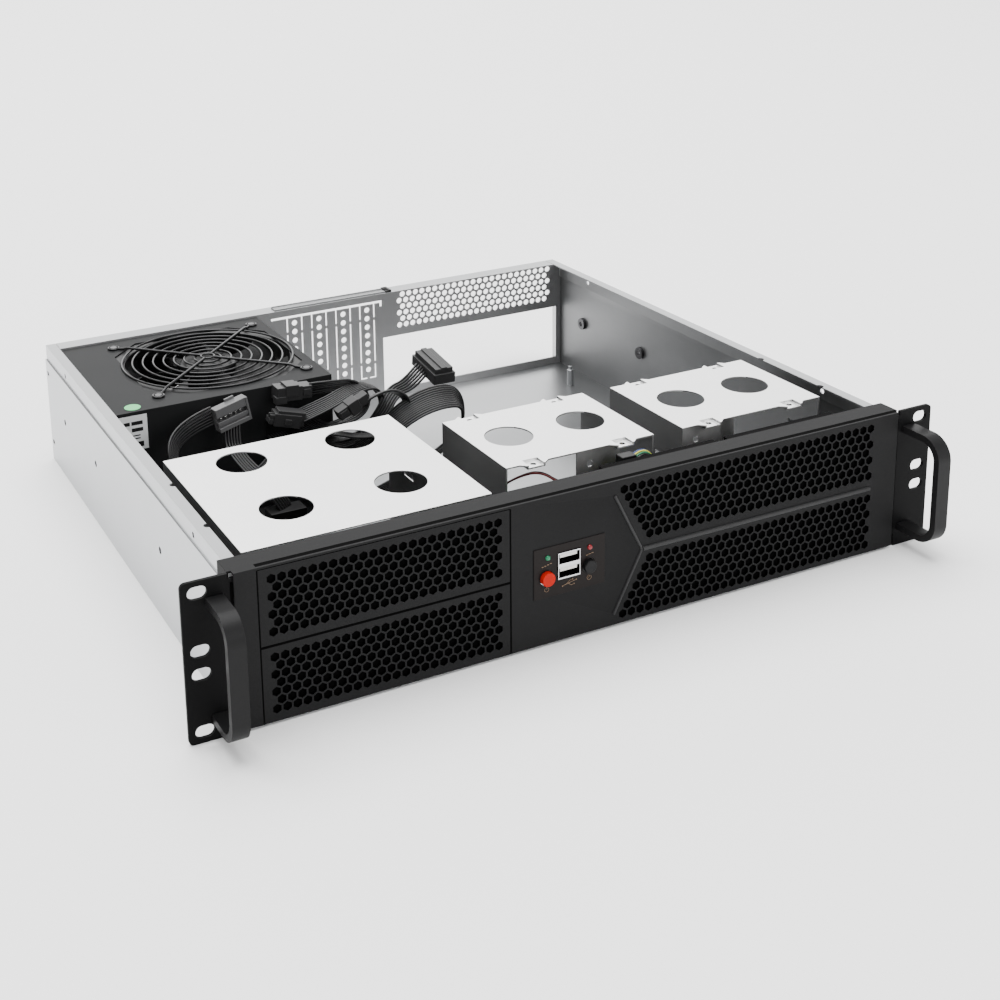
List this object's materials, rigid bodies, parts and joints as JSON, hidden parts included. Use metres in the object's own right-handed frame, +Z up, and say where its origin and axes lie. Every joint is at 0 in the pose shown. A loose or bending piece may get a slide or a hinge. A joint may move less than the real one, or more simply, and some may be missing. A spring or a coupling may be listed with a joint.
{
  "type": "empty rackmount server case",
  "caption": "Low steel rack case, open on top, with mesh front, bow handles, drive cage and brackets, power supply and its leads.",
  "frame": {"origin": "bottom centre of the whole case, on the underside of its floor", "axes": "+X to the right along the front, +Y from the front to the rear, +Z up"},
  "size_m": [0.4826, 0.4184, 0.0889],
  "materials": {
    "zinc_steel": "satin zinc coating",
    "shelf_steel": "bright zinc coating",
    "black_steel": "fine textured black powder coat",
    "handle_black": "satin black",
    "screw_steel": "plated",
    "black_plastic": "moulded",
    "plate_film": "printed film",
    "port_shell": "plated",
    "white_plastic": "moulded",
    "red_plastic": "moulded",
    "reset_black": "moulded",
    "lamp_lens": "clear lens",
    "circuit_board": "solder mask",
    "supply_steel": "fine textured grey black coat",
    "guard_wire": "black chrome wire",
    "sink_aluminium": "cut fins",
    "paper_label": "printed paper with film",
    "filter_foam": "open foam",
    "rubber_black": "moulded",
    "lead_sheath": "extruded",
    "thin_leads": "extruded"
  },
  "bodies": {
    "case": {"bay_cover_lower": "black_steel", "bay_cover_upper": "black_steel", "board_standoff": "white_plastic", "bracket_middle": "shelf_steel", "bracket_right": "shelf_steel", "cable_bush": "rubber_black", "card_retainer": "zinc_steel", "case_screws": "screw_steel", "chassis_tub": "zinc_steel", "control_board": "circuit_board", "control_plate": "plate_film", "drive_cage": "shelf_steel", "fan_guard": "guard_wire", "fan_lead": "thin_leads", "fan_plate": "black_steel", "front_frame": "black_steel", "front_lamps": "lamp_lens", "handle_left": "handle_black", "handle_right": "handle_black", "intake_fans": "black_plastic", "lead_arc": "lead_sheath", "lead_block": "lead_sheath", "lead_comb": "lead_sheath", "lead_connector": "lead_sheath", "lead_loop": "lead_sheath", "lead_small": "lead_sheath", "lead_wide": "lead_sheath", "mains_inlet": "black_plastic", "mesh_filters": "filter_foam", "panel_lead": "thin_leads", "plug_block": "black_plastic", "plug_comb": "black_plastic", "plug_connector": "black_plastic", "plug_fan": "black_plastic", "plug_flat": "black_plastic", "plug_low": "black_plastic", "plug_panel": "black_plastic", "plug_small": "black_plastic", "plug_wide": "black_plastic", "port_stack": "port_shell", "port_tongues": "white_plastic", "rack_ear_left": "black_steel", "rack_ear_right": "black_steel", "rail_nuts": "screw_steel", "rear_panel": "zinc_steel", "retainer_clamp": "black_plastic", "rocker_bezel": "black_plastic", "supply_base": "supply_steel", "supply_board": "circuit_board", "supply_cover": "supply_steel", "supply_fan": "black_plastic", "supply_labels": "paper_label", "supply_parts": "sink_aluminium", "supply_screws": "screw_steel"},
    "power_button": {"power_button": "red_plastic"},
    "reset_button": {"reset_button": "reset_black"},
    "supply_rotor": {"supply_rotor": "black_plastic"},
    "intake_rotor_left": {"intake_rotor_left": "black_plastic"},
    "intake_rotor_right": {"intake_rotor_right": "black_plastic"},
    "supply_rocker": {"supply_rocker": "black_plastic"}
  },
  "joints": [
    {"name": "power_press", "type": "slide", "parent": "case", "child": "power_button", "axis": [0, 1, 0], "range_m": [0, 0.0015], "stiffness_N_per_m": 500},
    {"name": "reset_press", "type": "slide", "parent": "case", "child": "reset_button", "axis": [0, 1, 0], "range_m": [0, 0.0015], "stiffness_N_per_m": 500},
    {"name": "supply_fan_spin", "type": "hinge", "parent": "case", "child": "supply_rotor", "pos_m": [-0.1187, 0.12735, 0.0726], "axis": [0, 0, 1], "continuous": true},
    {"name": "intake_left_spin", "type": "hinge", "parent": "case", "child": "intake_rotor_left", "pos_m": [0.061, -0.16035, 0.0429], "axis": [0, 1, 0], "continuous": true},
    {"name": "intake_right_spin", "type": "hinge", "parent": "case", "child": "intake_rotor_right", "pos_m": [0.1491, -0.16035, 0.0429], "axis": [0, 1, 0], "continuous": true},
    {"name": "rocker_tilt", "type": "hinge", "parent": "case", "child": "supply_rocker", "pos_m": [-0.145, 0.19415, 0.048], "axis": [1, 0, 0], "range_deg": [0, 16]}
  ]
}
